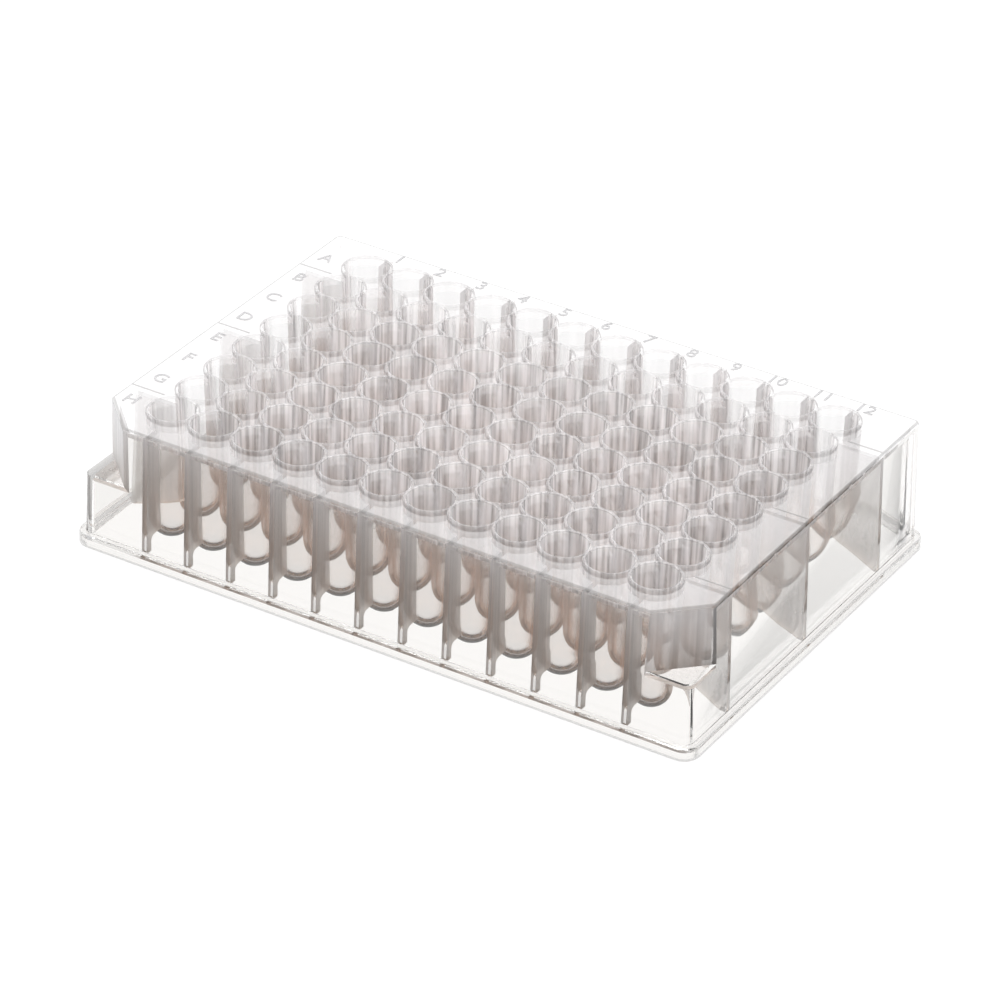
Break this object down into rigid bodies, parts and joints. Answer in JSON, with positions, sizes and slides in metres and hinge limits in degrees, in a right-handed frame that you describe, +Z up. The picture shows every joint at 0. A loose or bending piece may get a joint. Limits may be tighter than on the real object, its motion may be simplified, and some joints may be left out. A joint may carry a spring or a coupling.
{
  "type": "well plate",
  "caption": "Clear one-piece lab well plate with a grid of round-bottom wells, a ribbed skirt with a base flange, and two cut front corners.",
  "frame": {"origin": "centre of the base plane, under the middle of the plate", "axes": "+X along the long side, from the first column of wells to the last; +Y along the short side, from the cut-corner side to the row of wells farthest from it; +Z up, out of the wells' mouths"},
  "size_m": [0.1278, 0.0854, 0.027],
  "materials": {
    "clear_plastic": "clear, smooth moulded polystyrene or polypropylene"
  },
  "bodies": {
    "root": {"well_plate": "clear_plastic"}
  },
  "joints": []
}
